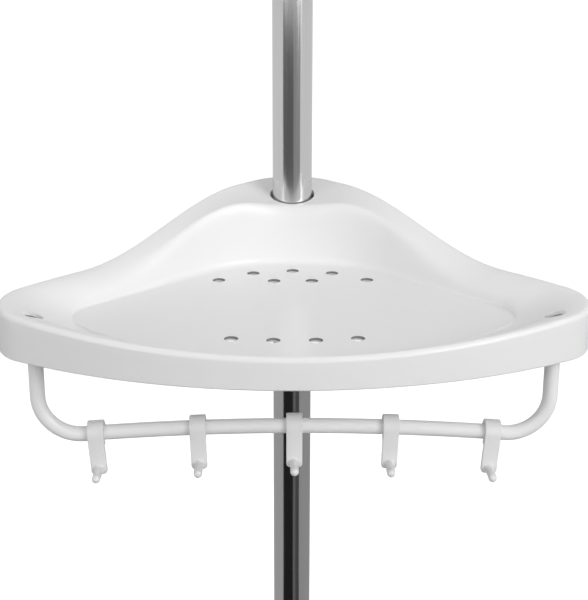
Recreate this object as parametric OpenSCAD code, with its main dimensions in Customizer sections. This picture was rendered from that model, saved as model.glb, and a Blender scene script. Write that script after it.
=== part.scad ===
// Corner shower caddy on a tension pole: one tray, a rail of hooks under it,
// and a spring-loaded telescopic pole between floor and ceiling.
// Millimetres. +Z is up, the tray's front faces -Y, and the origin lies on the
// pole's axis in the underside of the foot pad.

/* [Pole] */
// Outside diameter of the lower tube
tube_d = 25; // [19:0.5:32]
// Wall thickness of both tubes
tube_wall = 0.9; // [0.6:0.1:1.5]
// Height of the lower tube's top end
tube_top = 492; // [470:1:800]
// Diameter of the upper, telescoping tube
upper_d = 21.6; // [15:0.1:28]
// Height of the whole caddy
total_h = 640; // [620:1:1200]
// How far the upper tube reaches down into the lower one
overlap = 64; // [40:1:120]

/* [Foot and ceiling cups] */
// Diameter of the rubber pads
pad_d = 60; // [46:1:90]
// Thickness of the pads' visible rim
pad_t = 4; // [2:0.5:8]
// Height of a cup above its pad
cup_h = 34; // [22:1:60]
// Thickness of the cup's wall round its tube
cup_wall = 4; // [2.5:0.5:8]

/* [Tray] */
// Height of the tray's lower edge above the floor
tray_z = 290; // [200:1:330]
// Distance from the pole's axis to the middle of the front edge
tray_front = 201; // [160:1:260]
// Radius of the front edge in plan
front_r = 288; // [220:1:400]
// Distance from the pole's axis to the wall corner behind it, along Y
wall_corner = 40; // [34:1:60]
// Plan radius of the two front corners
corner_r = 27; // [18:1:40]
// Plan radius behind the pole
back_r = 34; // [28:1:44]
// Height of the rim at the middle of the front
rim_h = 18; // [16:0.5:30]
// Height of the rim along the two sides
side_h = 29; // [24:0.5:45]
// Height of the rim behind the pole
boss_h = 58.5; // [50:0.5:90]
// Height of the tray's floor above its lower edge
floor_h = 13; // [9:0.5:14]
// Wall thickness
wall = 2.4; // [1.8:0.1:4]
// Fall of the sides' and corners' land towards the floor, per millimetre
side_fall = 0.27; // [0.1:0.01:0.4]
// Fall of the land round the pole towards the floor, per millimetre
boss_fall = 0.23; // [0.1:0.01:0.3]
// How much more the sides' land falls near the floor than near its crest
side_bend = 0.8; // [-0.9:0.1:0.9]
// The same for the land round the pole, which falls most near its crest
boss_bend = -0.7; // [-0.9:0.1:0.9]
// Diameter of a drain hole
drain_d = 7.4; // [4:0.1:9]
// Distance from the floor's back to the arc of drain holes
drain_back = 16; // [12:0.5:24]
// Distance from the floor's front to the row of drain holes
drain_front = 29; // [16:0.5:50]
// Distance between drain holes
drain_pitch = 23; // [18:0.5:28]
// Thickness of the ribs under the floor
rib_t = 2; // [1.2:0.1:3]

/* [Floor outline] */
// Distance from the front edge to the floor, in the middle
front_gap = 11; // [9:0.5:20]
// Plan radius of the floor's front
floor_front_r = 158; // [140:1:260]
// Distance between the tray's side and the floor's side
side_gap = 18.4; // [14:0.1:26]
// Plan radius of the floor's front corners
floor_corner_r = 22; // [14:1:34]
// Plan radius of the floor's back
floor_back_r = 86; // [60:1:110]

/* [Tray socket and wedge] */
// Width of the gap round the pole at the top of the tray's hole
socket_slack = 1.3; // [1:0.1:3]
// Growth of the socket's radius from top to bottom
socket_taper = 2; // [1:0.1:3]
// Thickness of the socket's wall
socket_wall = 2.8; // [2:0.1:4]
// Height of the socket
socket_h = 30; // [20:1:34]
// Height of the wedge sleeve's flange
wedge_flange_h = 3; // [2:0.5:6]
// Gap between the two halves of the wedge
wedge_gap = 1.2; // [0.6:0.1:3]

/* [Rail and hooks] */
// Diameter of the rail
rail_d = 8.5; // [6:0.1:12]
// Distance from the tray's edge to the middle of each post and its screw
post_inset = 13.5; // [12:0.5:18]
// Drop of the rail's middle below the tray's lower edge
rail_drop = 43; // [36:1:80]
// Radius of the rail's long arch
arch_r = 1500; // [800:10:4000]
// Bend radius at the rail's ends, at the rod's centre
bend_r = 23; // [14:1:30]
// Distance between the middle three hooks along the rail
hook_pitch = 54; // [40:1:56]
// Distance from them to the outer hooks
outer_pitch = 57; // [40:1:58]
// Width of a hook
hook_w = 9; // [6:0.1:14]
// Thickness of the clip round the rail
clip_wall = 2.9; // [2:0.1:4]
// Length of the strap below the rail's axis
strap_l = 22.5; // [18:0.5:40]
// Thickness of the strap
strap_t = 3; // [2:0.1:4]
// Diameter of the peg
peg_d = 4.7; // [3:0.1:6]
// Length of the peg in front of the strap
peg_l = 15; // [6:0.5:18]
// Upward tilt of the peg, degrees
peg_tilt = 3; // [0:1:30]

/* [Rail screws] */
// Thread diameter of the screws
screw_d = 4; // [3:0.5:5]
// Diameter of the screw's head
head_d = 8; // [6:0.1:10]
// Diameter of the recess round the head
recess_d = 11.5; // [10:0.1:14]
// Height of the recess's floor above the tray's lower edge
recess_h = 16; // [13:0.1:17]
// Thickness of the web under the recess
recess_web = 2.6; // [2:0.1:4]
// Depth of the screws in the rail's ends
screw_depth = 12; // [6:0.5:20]

/* [Lock and spring] */
// Height of the lock body
lock_h = 34; // [28:1:60]
// Outside diameter of the lock body
lock_d = 33; // [31:0.5:50]
// Number of grip flutes on the lock ring
flute_count = 18; // [12:1:24]
// Coil diameter of the spring, at the wire's centre
spring_d = 17; // [12:0.5:24]
// Wire diameter of the spring
wire_d = 1.8; // [1:0.1:2.6]
// Turns of the spring
spring_turns = 9; // [5:1:14]
// Length of the spring at rest
spring_l = 62; // [40:1:90]

/* [Clearances] */
// Radial clearance of parts that slide or turn on each other
running = 0.06; // [0.02:0.01:0.1]
// Gap between faces that pass each other
gap = 0.4; // [0.3:0.1:1]

/* [Hidden] */
$fn = 64;
eps = 0.01;
tube_bore = tube_d - 2 * tube_wall;
upper_bore = upper_d - 2 * tube_wall;

// Cups and pads
pad_lip = 3;
pad_spigot_d = pad_d - 14;
web_t = 5;
cup_flange_h = 5;
tube_foot = pad_t + pad_lip + web_t;
upper_foot = tube_top - overlap;
upper_top = total_h - tube_foot;

// Tray outlines: [front radius, its centre's y, wall corner, corner radius, back radius]
front_cy = front_r - tray_front;
floor_front = tray_front - front_gap;
floor_front_cy = floor_front_r - floor_front;
floor_corner = wall_corner - side_gap * sqrt(2);
TRAY_OUTLINE = [front_r, front_cy, wall_corner, corner_r, back_r];
FLOOR_OUTLINE = [floor_front_r, floor_front_cy, floor_corner, floor_corner_r, floor_back_r];
floor_back = floor_corner - floor_back_r * (sqrt(2) - 1);
corner_c = corner_centre(TRAY_OUTLINE);
plan_centre = [0, -tray_front * 0.55];
side_y = -corner_c[1] * 0.7;
crest_r = 3;
swell_reach = 2.7;

// Drain holes
drain_arc_r = 65;
drain_row_r = 190;
drain_row_cy = drain_front - floor_front + drain_row_r;

// Rail: the posts stand under the corner screws
post_dir = -65;
post_x = corner_c[0] + (corner_r - post_inset) * cos(post_dir);
rail_y = corner_c[1] + (corner_r - post_inset) * sin(post_dir);
bend_x = post_x - bend_r;
arch_half = asin(bend_x / (arch_r + bend_r));
arch_cz = tray_z - rail_drop - arch_r;
bend_z = arch_cz + (arch_r + bend_r) * cos(arch_half);
rail_end = tray_z + recess_h - recess_web;
bend_swell = 0.06;
join_depth = 0.4;
post_foot = 2;
post_d = rail_d + 6;
clip_bore_r = rail_d / 2 + running;
clip_r = clip_bore_r + clip_wall;
peg_rise = peg_d * 0.65;
hook_reach = hook_pitch + outer_pitch;

// Screws and washers
washer_t = 0.8;
washer_d = 9.4;
head_h = 2.2;
screw_top = tray_z + recess_h + washer_t;

// Socket and wedge: both cones share one slope
socket_foot = 6;
socket_top_r = tube_d / 2 + socket_slack;
socket_foot_r = socket_top_r + socket_taper;
cone_top = boss_h + 4;
socket_slope = socket_taper / (cone_top - socket_foot);
wedge_h = socket_h - 2;
wedge_foot_r = socket_foot_r - running;
wedge_top_r = wedge_foot_r - socket_slope * wedge_h;
flange_r = socket_foot_r + socket_wall - 0.4;

// Lock
lock_grip = 18;
neck_h = 14;
lock_foot = tube_top - lock_grip;
lock_top = lock_foot + lock_h;
neck_foot = lock_top - neck_h;
neck_d = lock_d - 4.5;
collet_d = upper_d + 4.6;
collet_foot = lock_top - 9;
collet_h = 15;
collet_cone = 6;
ring_foot = neck_foot + gap;
ring_top = collet_foot + collet_h + 3;
ring_d = lock_d + 3;
flute_d = 3.4;

// Spring and plugs
plug_head_h = 6;
plug_h = 14;
spring_top = upper_foot - plug_head_h;
spring_foot = spring_top - spring_l;
seat_h = 12;
spigot_h = 6;
spigot_d = spring_d - wire_d - 1.2;

// ---------------------------------------------------------------- outlines

// Centre of an outline's right corner circle, which touches the front arc and the
// 45 degree side from inside
function corner_centre(o) =
    let (k = o[2] - o[3] * sqrt(2), m = k - o[1], r = o[0] - o[3],
         x = (m + sqrt(2 * r * r - m * m)) / 2)
    [x, k - x];

// Distance along a ray from p in unit direction d to the far side of a circle, or -1
function ray_circle(p, d, c, r) =
    let (q = p - c, b = q * d, h = b * b - q * q + r * r)
    h < 0 ? -1 : -b + sqrt(h);

// Point where the ray at angle a from the plan centre leaves the right half of an outline
function outline_point(o, a) =
    let (
        d = [cos(a), sin(a)],
        p = plan_centre,
        cc = corner_centre(o),
        bc = [0, o[2] - o[4] * sqrt(2)],
        front = p + d * ray_circle(p, d, [0, o[1]], o[0]),
        corner_t = ray_circle(p, d, cc, o[3]),
        corner = p + d * corner_t,
        back_t = ray_circle(p, d, bc, o[4]),
        back = p + d * back_t,
        side = p + d * (o[2] - p[0] - p[1]) / (d[0] + d[1]),
        join = cc - [0, o[1]],
        front_end = atan2(join[1], join[0]),
        front_a = atan2(front[1] - o[1], front[0]),
        corner_a = atan2(corner[1] - cc[1], corner[0] - cc[0])
    )
    front_a <= front_end ? front
    : corner_t > 0 && corner_a <= 45 ? corner
    : back_t > 0 && back[0] <= o[4] / sqrt(2) && a > 0 ? back
    : side;

// ------------------------------------------------------------ tray's shape

function clamp01(t) = max(0, min(1, t));

// Share of the swell behind the pole, from 0 along the sides to 1 at the back
function swell(p) =
    p[1] < -side_y ? 0 : (1 + cos(180 * clamp01((abs(p[0]) - back_r) / (swell_reach * back_r)))) / 2;

// Share of the climb from the front rim to the sides
function climb(p) =
    let (t = clamp01((p[1] + tray_front) / (tray_front - side_y))) t * (2 - t);

// Height of the rim's crest over a point of the tray's outline
function crest(p) =
    rim_h + (side_h - rim_h) * climb(p) + (boss_h - side_h) * swell(p);

// Fall of the land and its bend, the share of the way to the floor that it takes, and
// how softly the wall below it runs out: from soft in front to square along the sides
function land_fall(p) = side_fall + (boss_fall - side_fall) * swell(p);
function land_bend(p) = side_bend + (boss_bend - side_bend) * swell(p);
function land_share(p) = 0.2 + 0.36 * climb(p) + 0.3 * swell(p);
function softness(p) = 0.2 + 0.9 * pow(1 - climb(p), 2);

// One section of the top surface, as [distance in from the outline, height]:
// skirt, round crest, sloping land, and a wall that rolls over and drops to the floor
LAND_STEPS = 4;
WALL_STEPS = 8;
function top_section(h, d, fall, bend, share, soft) =
    let (land = share * (d - crest_r), land_end = crest_r + land, end_h = h - fall * land)
    concat(
        [[0, 0]],
        [for (a = [0:30:90]) [crest_r * (1 - cos(a)), h - crest_r * (1 - sin(a))]],
        [for (i = [1:LAND_STEPS])
            let (t = i / LAND_STEPS)
            [crest_r + land * t, h - fall * land * t * (1 - bend * (1 - t))]],
        [for (i = [1:WALL_STEPS])
            let (u = sin(90 * i / WALL_STEPS), run = (d - land_end) * u)
            [land_end + run, floor_h + (end_h - fall * (1 + bend) * run - floor_h)
                * pow(max(0, 1 - u * u), soft)]]
    );

// The section below it, one wall thickness in along its normals
function under_section(s) =
    [for (i = [len(s) - 1:-1:1])
        let (
            t = i == len(s) - 1 ? [1, 0] : s[i + 1] - s[i - 1],
            n = [-t[1], t[0]] / norm(t)
        )
        [max(wall, s[i][0] - wall * n[0]), s[i][1] - wall * n[1]]];

// Angles of the rays, closer together round the front corner
RAY_ANGLES = concat(
    [for (i = [0:9]) -90 + 60 * i / 10],
    [for (i = [0:19]) -30 + 38 * i / 20],
    [for (i = [0:13]) 8 + 82 * i / 14],
    [90]
);

// Ring of rays all the way round: the right half, and its mirror image
function mirrored(pts) =
    concat(pts, [for (i = [len(pts) - 2:-1:1]) [-pts[i][0], pts[i][1]]]);

OUTER_PTS = mirrored([for (a = RAY_ANGLES) outline_point(TRAY_OUTLINE, a)]);
FLOOR_PTS = mirrored([for (a = RAY_ANGLES) outline_point(FLOOR_OUTLINE, a)]);

// Whole closed section of one ray: in along the top, then back under it
function ray_section(p, q) =
    let (
        d = norm(q - p),
        s = top_section(crest(p), d, land_fall(p), land_bend(p), land_share(p), softness(p))
    )
    concat(
        under_section(s),
        [[wall, 0]],
        s
    );

SECTIONS = [for (i = [0:len(OUTER_PTS) - 1]) ray_section(OUTER_PTS[i], FLOOR_PTS[i])];

// Closed shell: rings of points over the rays, capped by the floor's two faces
module tray_shell() {
    rays = len(OUTER_PTS);
    steps = len(SECTIONS[0]);
    points = [for (j = [0:steps - 1]) for (i = [0:rays - 1])
        let (p = OUTER_PTS[i], u = (FLOOR_PTS[i] - p) / norm(FLOOR_PTS[i] - p),
             xy = p + u * SECTIONS[i][j][0])
        [xy[0], xy[1], SECTIONS[i][j][1]]];
    sides = [for (j = [0:steps - 2]) for (i = [0:rays - 1])
        let (k = (i + 1) % rays)
        [j * rays + i, (j + 1) * rays + i, (j + 1) * rays + k, j * rays + k]];
    under_cap = [for (i = [0:rays - 1]) i];
    top_cap = [for (i = [rays - 1:-1:0]) (steps - 1) * rays + i];
    polyhedron(points = points, faces = concat(sides, [under_cap, top_cap]), convexity = 8);
}

// ------------------------------------------------------------ shared shapes

// Straight tube between two heights
module tube(d, bore, z0, z1) {
    translate([0, 0, z0]) difference() {
        cylinder(d = d, h = z1 - z0);
        translate([0, 0, -1]) cylinder(d = bore, h = z1 - z0 + 2);
    }
}

// Rubber pad with two grooves in its face, which lies in z = 0
module pad() {
    difference() {
        union() {
            cylinder(d = pad_d, h = pad_t);
            cylinder(d = pad_spigot_d, h = pad_t + pad_lip);
        }
        for (d = [pad_d * 0.4, pad_d * 0.7])
            translate([0, 0, -eps]) tube(d + 3, d, 0, 1);
    }
}

// Flared cup that holds a pad below and a tube above
module cup(bore_d) {
    flange_top = pad_t + cup_flange_h;
    neck_r = bore_d / 2 + cup_wall;
    flare_r = pad_d / 2 - neck_r;
    difference() {
        rotate_extrude() difference() {
            translate([0, pad_t]) square([pad_d / 2, cup_h]);
            translate([pad_d / 2, flange_top + flare_r]) circle(r = flare_r);
            translate([neck_r, flange_top + flare_r]) square([pad_d, cup_h]);
        }
        translate([0, 0, pad_t - 1])
            cylinder(d = pad_spigot_d + 2 * running, h = pad_lip + 1);
        translate([0, 0, tube_foot]) cylinder(d = bore_d + 2 * running, h = cup_h);
        translate([0, 0, pad_t + cup_h - 1.5])
            cylinder(r1 = bore_d / 2 + running, r2 = bore_d / 2 + 1.2, h = 1.5 + eps);
    }
}

// Turns a foot part upside down under the ceiling
module hang() {
    translate([0, 0, total_h]) mirror([0, 0, 1]) children();
}

// Puts a child at both posts
module at_posts(z) {
    for (side = [-1, 1]) translate([side * post_x, rail_y, z]) children();
}

// ------------------------------------------------------------ pole

module foot_pad() {
    color("dimgray") pad();
}

module foot_cup() {
    color("white") cup(tube_d);
}

module lower_tube() {
    color("silver") tube(tube_d, tube_bore, tube_foot, tube_top);
}

module spring_seat() {
    color("gray") translate([0, 0, spring_foot]) difference() {
        union() {
            translate([0, 0, -seat_h]) cylinder(d = tube_bore, h = seat_h);
            cylinder(d = spigot_d, h = spigot_h);
        }
        translate([0, 0, -seat_h - 1]) cylinder(d = spigot_d / 2, h = seat_h + spigot_h + 2);
    }
}

// Coil: a ring of points round the wire at each step along the helix
module tension_spring() {
    steps = spring_turns * 18;
    sides = 8;
    rise = spring_l - wire_d;
    points = [for (i = [0:steps]) for (k = [0:sides - 1])
        let (a = 360 * spring_turns * i / steps, b = 360 * k / sides,
             r = (spring_d + wire_d * cos(b)) / 2)
        [r * cos(a), r * sin(a), (wire_d + wire_d * sin(b)) / 2 + rise * i / steps]];
    skin = [for (i = [0:steps - 1]) for (k = [0:sides - 1])
        let (m = (k + 1) % sides)
        [i * sides + k, i * sides + m, (i + 1) * sides + m, (i + 1) * sides + k]];
    start = [for (k = [sides - 1:-1:0]) k];
    end = [for (k = [0:sides - 1]) steps * sides + k];
    color("gainsboro") translate([0, 0, spring_foot])
        polyhedron(points = points, faces = concat(skin, [start, end]), convexity = 20);
}

module guide_plug() {
    color("gray") translate([0, 0, upper_foot]) {
        translate([0, 0, -plug_head_h])
            cylinder(d = tube_bore - 2 * running, h = plug_head_h);
        cylinder(d = upper_bore - 2 * running, h = plug_h);
        translate([0, 0, -plug_head_h - spigot_h]) cylinder(d = spigot_d, h = spigot_h + eps);
    }
}

module upper_tube() {
    color("silver") tube(upper_d, upper_bore, upper_foot, upper_top);
}

module ceiling_cup() {
    color("white") hang() cup(upper_d);
}

module ceiling_pad() {
    color("dimgray") hang() pad();
}

// ------------------------------------------------------------ lock

// Collar on the lower tube, with a neck that holds the collet
module lock_body() {
    color("white") difference() {
        union() {
            translate([0, 0, lock_foot + 2]) cylinder(d = lock_d, h = neck_foot - lock_foot - 2);
            translate([0, 0, lock_foot]) cylinder(d1 = lock_d - 4, d2 = lock_d, h = 2);
            translate([0, 0, lock_foot]) cylinder(d = neck_d, h = lock_h);
        }
        translate([0, 0, lock_foot - 1]) cylinder(d = tube_d + 2 * running, h = lock_grip + 1);
        translate([0, 0, lock_foot]) cylinder(d = upper_d + 2 * running, h = lock_h + 1);
        translate([0, 0, collet_foot]) cylinder(d = collet_d + 2 * running, h = lock_h);
    }
}

// Split ring with a cone on top
module lock_collet() {
    straight = collet_h - collet_cone;
    color("gray") translate([0, 0, collet_foot]) difference() {
        union() {
            cylinder(d = collet_d, h = straight);
            translate([0, 0, straight])
                cylinder(d1 = collet_d, d2 = upper_d + 2.4, h = collet_cone);
        }
        translate([0, 0, -1]) cylinder(d = upper_d + 2 * running, h = collet_h + 2);
        for (a = [0:90:270])
            rotate(a) translate([0, -0.75, 3]) cube([collet_d, 1.5, collet_h]);
    }
}

// Fluted twist ring over the neck and the collet
module lock_ring() {
    over_neck = lock_top + gap;
    color("white") difference() {
        union() {
            translate([0, 0, ring_foot]) cylinder(d = ring_d, h = ring_top - ring_foot - 2);
            translate([0, 0, ring_top - 2]) cylinder(d1 = ring_d, d2 = ring_d - 4, h = 2);
        }
        translate([0, 0, ring_foot - 1])
            cylinder(d = neck_d + 2 * gap, h = over_neck - ring_foot + 1);
        translate([0, 0, over_neck - eps])
            cylinder(d1 = collet_d + 3, d2 = upper_d + 2, h = ring_top - over_neck + 2 * eps);
        for (i = [0:flute_count - 1])
            rotate(360 * i / flute_count) translate([ring_d / 2 + 0.7, 0, ring_foot - 1])
                cylinder(d = flute_d, h = ring_top - ring_foot - 4, $fn = 24);
    }
}

// ------------------------------------------------------------ wedge

// Half of the tapered sleeve on the side that faces along +X
module wedge_half() {
    color("whitesmoke") translate([0, 0, tray_z + socket_foot]) difference() {
        union() {
            cylinder(r1 = wedge_foot_r, r2 = wedge_top_r, h = wedge_h);
            translate([0, 0, -gap]) cylinder(r = wedge_foot_r, h = gap + eps);
            translate([0, 0, -gap - wedge_flange_h]) cylinder(r = flange_r, h = wedge_flange_h);
        }
        translate([0, 0, -wedge_flange_h - 1])
            cylinder(d = tube_d + 2 * running, h = wedge_h + wedge_flange_h + 2);
        translate([wedge_gap / 2 - 2 * flange_r, -flange_r - 1, -wedge_flange_h - 1])
            cube([2 * flange_r, 2 * flange_r + 2, wedge_h + wedge_flange_h + 2]);
    }
}

module wedge_left() {
    mirror([1, 0, 0]) wedge_half();
}

module wedge_right() {
    wedge_half();
}

// ------------------------------------------------------------ tray

// Eleven drain holes: an arc and a pair behind, a row in front
module drain_holes() {
    arc_step = 2 * asin(drain_pitch / (2 * drain_arc_r)) * 1.08;
    arc_cy = floor_back - drain_back - drain_arc_r;
    row_step = 2 * asin(drain_pitch / (2 * drain_row_r));
    for (i = [-2:2])
        translate([drain_arc_r * sin(i * arc_step), arc_cy + drain_arc_r * cos(i * arc_step), 0])
            drain_hole();
    for (side = [-1, 1])
        translate([side * drain_pitch / 2, floor_back - drain_back - 20, 0]) drain_hole();
    for (i = [-1.5:1.5])
        translate([drain_row_r * sin(i * row_step), drain_row_cy - drain_row_r * cos(i * row_step), 0])
            drain_hole();
}

module drain_hole() {
    cylinder(d = drain_d, h = floor_h + 4);
}

// Rib under the floor between two points of the plan
module rib(from, to) {
    run = to - from;
    translate([from[0], from[1], socket_foot]) rotate(atan2(run[1], run[0]))
        translate([0, -rib_t / 2, 0]) cube([norm(run), rib_t, floor_h - wall - socket_foot + gap]);
}

module tray_ribs() {
    post = [post_x, rail_y];
    reach = socket_foot_r + socket_wall / 2;
    rib_x = drain_pitch * 0.8;
    front_y = front_cy - sqrt(pow(front_r, 2) - pow(rib_x + rib_t, 2)) + wall / 2;
    for (side = [-1, 1]) {
        rib([side * reach * cos(45), -reach * sin(45)],
            [side * (post[0] - post_d / 4), post[1] + post_d / 4]);
        rib([side * rib_x, -reach * 0.4], [side * rib_x, front_y]);
    }
}

module tray() {
    color("white") translate([0, 0, tray_z]) difference() {
        union() {
            tray_shell();
            translate([0, 0, socket_foot]) cylinder(r = socket_foot_r + socket_wall, h = socket_h);
            for (side = [-1, 1]) translate([side * post_x, rail_y, post_foot])
                cylinder(d = post_d, h = recess_h - post_foot);
            tray_ribs();
        }
        translate([0, 0, socket_foot])
            cylinder(r1 = socket_foot_r, r2 = socket_top_r, h = cone_top - socket_foot);
        translate([0, 0, -1]) cylinder(r = socket_foot_r, h = socket_foot + 1 + eps);
        drain_holes();
        for (side = [-1, 1]) translate([side * post_x, rail_y, 0]) {
            translate([0, 0, recess_h]) cylinder(d = recess_d, h = side_h);
            cylinder(d = screw_d + 0.4, h = recess_h + 1);
            translate([0, 0, -1])
                cylinder(d = rail_d + 2 * running, h = recess_h - recess_web + 1);
        }
    }
}

// ------------------------------------------------------------ rail

// Bent rod: an arch, a bend at each end and two posts with tapped ends. The rod
// swells a little where it is bent, so the arch and the posts end inside the bends.
module hook_rail() {
    bent_d = rail_d + bend_swell;
    arch_run = arch_half + join_depth / arch_r * 180 / PI;
    color("white") translate([0, rail_y, 0]) difference() {
        union() {
            translate([0, 0, arch_cz]) rotate([90, 0, 0]) rotate(90 - arch_run)
                rotate_extrude(angle = 2 * arch_run)
                    translate([arch_r, 0]) circle(d = rail_d);
            for (side = [0, 1]) mirror([side, 0, 0]) {
                translate([bend_x, 0, bend_z]) rotate([90, 0, 0]) rotate(-90 - arch_half)
                    rotate_extrude(angle = 90 + arch_half)
                        translate([bend_r, 0]) circle(d = bent_d);
                translate([post_x, 0, bend_z - join_depth])
                    cylinder(d = rail_d, h = rail_end - bend_z + join_depth);
            }
        }
        for (side = [-1, 1]) translate([side * post_x, 0, rail_end - screw_depth])
            cylinder(d = screw_d + 2 * running, h = screw_depth + 1);
    }
}

module rail_screws() {
    color("white") at_posts(screw_top) difference() {
        union() {
            cylinder(d = head_d, h = head_h);
            translate([0, 0, rail_end + 1 - screw_depth - screw_top])
                cylinder(d = screw_d, h = screw_top - rail_end - 1 + screw_depth + eps);
        }
        for (a = [0, 90]) rotate(a)
            translate([-head_d / 3, -0.5, head_h - 1.2]) cube([head_d / 1.5, 1, 2]);
    }
}

module rail_washers() {
    color("silver") at_posts(0) tube(washer_d, screw_d + 0.4, tray_z + recess_h, screw_top);
}

// ------------------------------------------------------------ hooks

// Strap seen from the front: its lower corners are round
module strap_face() {
    r = 2.2;
    translate([-hook_w / 2, r - strap_l]) square([hook_w, strap_l - r]);
    translate([r - hook_w / 2, -strap_l]) square([hook_w - 2 * r, strap_l]);
    for (side = [-1, 1]) translate([side * (hook_w / 2 - r), r - strap_l]) circle(r = r);
}

// Hook about the rail's axis, which runs along X: a snap ring, a strap and a peg
module hook() {
    mouth = rail_d * 0.8;
    color("white") difference() {
        union() {
            rotate([0, 90, 0]) cylinder(r = clip_r, h = hook_w, center = true);
            translate([0, strap_t - clip_r, 0]) rotate([90, 0, 0])
                linear_extrude(strap_t) strap_face();
            translate([0, strap_t / 2 - clip_r, peg_rise - strap_l]) rotate([90 - peg_tilt, 0, 0]) {
                cylinder(d = peg_d, h = peg_l, $fn = 32);
                translate([0, 0, peg_l]) sphere(d = peg_d, $fn = 32);
            }
        }
        rotate([0, 90, 0]) cylinder(r = clip_bore_r, h = hook_w + 2, center = true);
        rotate([30, 0, 0]) translate([-hook_w / 2 - 1, -mouth / 2, -clip_r - 1])
            cube([hook_w + 2, mouth, clip_r + 1]);
    }
}

// Hook at a distance along the rail from its middle, square to the rail's arch
module placed_hook(along) {
    translate([0, rail_y, arch_cz]) rotate([0, along / arch_r * 180 / PI, 0])
        translate([0, 0, arch_r]) hook();
}

module hook_1() {
    placed_hook(-hook_reach);
}

module hook_2() {
    placed_hook(-hook_pitch);
}

module hook_3() {
    placed_hook(0);
}

module hook_4() {
    placed_hook(hook_pitch);
}

module hook_5() {
    placed_hook(hook_reach);
}

foot_pad();
foot_cup();
lower_tube();
spring_seat();
tension_spring();
guide_plug();
upper_tube();
ceiling_cup();
ceiling_pad();
lock_body();
lock_collet();
lock_ring();
wedge_left();
wedge_right();
tray();
hook_rail();
rail_screws();
rail_washers();
hook_1();
hook_2();
hook_3();
hook_4();
hook_5();
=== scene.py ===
# %% [markdown]
# # A corner shower caddy on a tension pole
# A glossy plastic tray sits on a brushed steel pole. A coated rod with five clip-on
# hooks hangs below it. The pole is two tubes with a spring between them, and it ends
# in rubber-padded cups. This lesson dresses the part's exact frame for a picture:
# each visible piece is made again as a fine, soft-edged surface, and every piece gets
# a finish made of shader nodes. The frame's own pieces stay for the motion.

import math

import bmesh
import bpy
import numpy as np
from mathutils import Matrix


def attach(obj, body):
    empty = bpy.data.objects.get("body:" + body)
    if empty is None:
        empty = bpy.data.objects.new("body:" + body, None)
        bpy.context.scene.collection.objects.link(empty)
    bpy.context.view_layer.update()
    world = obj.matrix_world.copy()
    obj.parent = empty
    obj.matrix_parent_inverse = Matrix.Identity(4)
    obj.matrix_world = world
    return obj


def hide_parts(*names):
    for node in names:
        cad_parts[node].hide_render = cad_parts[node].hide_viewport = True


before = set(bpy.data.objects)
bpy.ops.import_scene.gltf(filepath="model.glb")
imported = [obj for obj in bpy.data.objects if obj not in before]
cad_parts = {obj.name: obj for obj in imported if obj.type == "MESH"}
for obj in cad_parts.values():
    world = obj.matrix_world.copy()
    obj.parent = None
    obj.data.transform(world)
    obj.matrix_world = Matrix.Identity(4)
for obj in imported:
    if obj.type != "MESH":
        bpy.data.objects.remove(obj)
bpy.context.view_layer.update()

# %% [markdown]
# ## Sizes
# All shapes below are worked out in millimetres, as in a workshop drawing, and become
# metres when they enter a mesh. These are the drawing's main sizes.

# %% Main sizes in millimetres
MM = 0.001
TOTAL_HEIGHT = 640
TUBE_R, TUBE_BORE_R = 12.5, 11.6
UPPER_R, UPPER_BORE_R = 10.8, 9.9
TUBE_FOOT, TUBE_TOP = 12, 492
UPPER_FOOT, UPPER_TOP = 428, 628
TRAY_Z = 290
RUNNING = 0.06
print("whole height", TOTAL_HEIGHT, "mm, tray's lower edge at", TRAY_Z, "mm")

# %% [markdown]
# ## Shader maths as plain expressions
# A material in Blender is a net of nodes. Wiring each Math node by hand is slow to
# read, so a small class wraps a socket: writing `1 - mask * 0.2` adds the nodes. A
# finish object adds any other node from its type, its settings and its inputs.


# %% Sockets that do sums
class Socket:
    def __init__(self, finish, socket):
        self.finish, self.socket = finish, socket

    def sum_with(self, operation, first, second):
        return self.finish.add("ShaderNodeMath", {"operation": operation}, {0: first, 1: second})

    def __add__(self, other):
        return self.sum_with("ADD", self, other)

    def __radd__(self, other):
        return self.sum_with("ADD", other, self)

    def __sub__(self, other):
        return self.sum_with("SUBTRACT", self, other)

    def __rsub__(self, other):
        return self.sum_with("SUBTRACT", other, self)

    def __mul__(self, other):
        return self.sum_with("MULTIPLY", self, other)

    def __rmul__(self, other):
        return self.sum_with("MULTIPLY", other, self)


print("sockets can be added, subtracted and multiplied")


# %% A finish: one material and the way to add nodes to it
class Finish:
    def __init__(self, name):
        self.material = bpy.data.materials.new(name)
        self.material.use_nodes = True
        self.tree = self.material.node_tree
        self.shader = self.tree.nodes["Principled BSDF"]

    def add(self, kind, settings=None, inputs=None, output=0):
        node = self.tree.nodes.new(kind)
        for key, value in (settings or {}).items():
            setattr(node, key, value)
        for key, value in (inputs or {}).items():
            self.feed(node.inputs[key], value)
        return Socket(self, node.outputs[output])

    def feed(self, target, value):
        if isinstance(value, Socket):
            self.tree.links.new(value.socket, target)
        else:
            target.default_value = value

    def set(self, **inputs):
        for name, value in inputs.items():
            self.feed(self.shader.inputs[name.replace("_", " ")], value)

    def place(self, stretch=(1, 1, 1)):
        where = self.add("ShaderNodeTexCoord", output="Object")
        return self.add("ShaderNodeMapping", {}, {"Vector": where, "Scale": stretch})

    def noise(self, scale, detail=2.0, stretch=(1, 1, 1)):
        inputs = {"Vector": self.place(stretch), "Scale": scale, "Detail": detail}
        return self.add("ShaderNodeTexNoise", {}, inputs)

    def mix(self, share, first, second):
        return self.add(
            "ShaderNodeMix", {"data_type": "RGBA"}, {0: share, 6: first, 7: second}, output=2
        )

    def relief(self, height, strength, distance):
        bump = self.add(
            "ShaderNodeBump", {}, {"Height": height, "Strength": strength, "Distance": distance}
        )
        self.feed(self.shader.inputs["Normal"], bump)


def grey(value):
    return (value, value, value, 1)


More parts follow.
